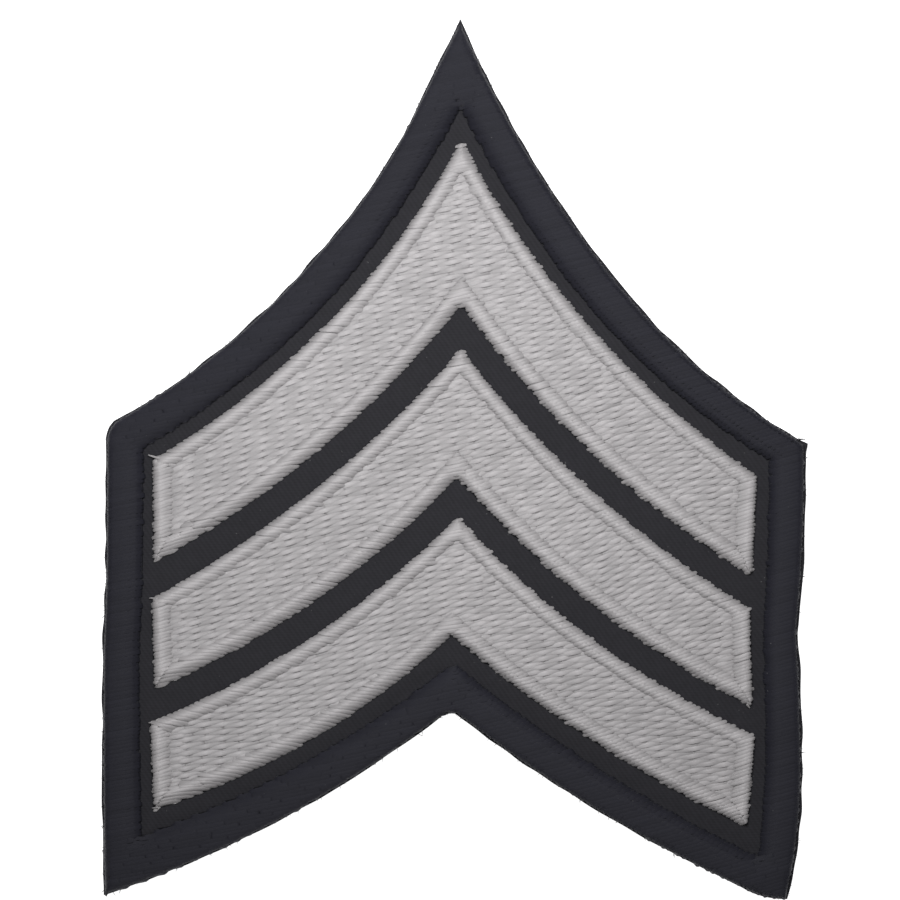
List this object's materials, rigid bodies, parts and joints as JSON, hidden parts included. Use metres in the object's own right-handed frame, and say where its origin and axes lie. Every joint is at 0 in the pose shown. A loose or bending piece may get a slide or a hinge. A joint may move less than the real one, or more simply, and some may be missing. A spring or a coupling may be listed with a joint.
{
  "type": "chevron sleeve patch",
  "caption": "Flat embroidered cloth patch: silver-grey chevrons bending upwards on black twill inside a raised black stitched border, for sewing to a sleeve, jacket or bag.",
  "frame": {"origin": "centre of the patch's box, on the plane of its back", "axes": "+X to the right and +Y up towards the point, as seen from the front; +Z out of the embroidered front"},
  "size_m": [0.0812, 0.1016, 0.0019],
  "materials": {
    "ground_twill": "matt black cotton and polyester twill",
    "border_thread": "black embroidery thread with a soft sheen",
    "chevron_thread": "silver-grey embroidery thread with a silky sheen"
  },
  "bodies": {
    "root": {"ground_cloth": "ground_twill", "border": "border_thread", "top_chevron_edging": "chevron_thread", "top_chevron_fill": "chevron_thread", "middle_chevron_edging": "chevron_thread", "middle_chevron_fill": "chevron_thread", "bottom_chevron_edging": "chevron_thread", "bottom_chevron_fill": "chevron_thread"}
  },
  "joints": []
}
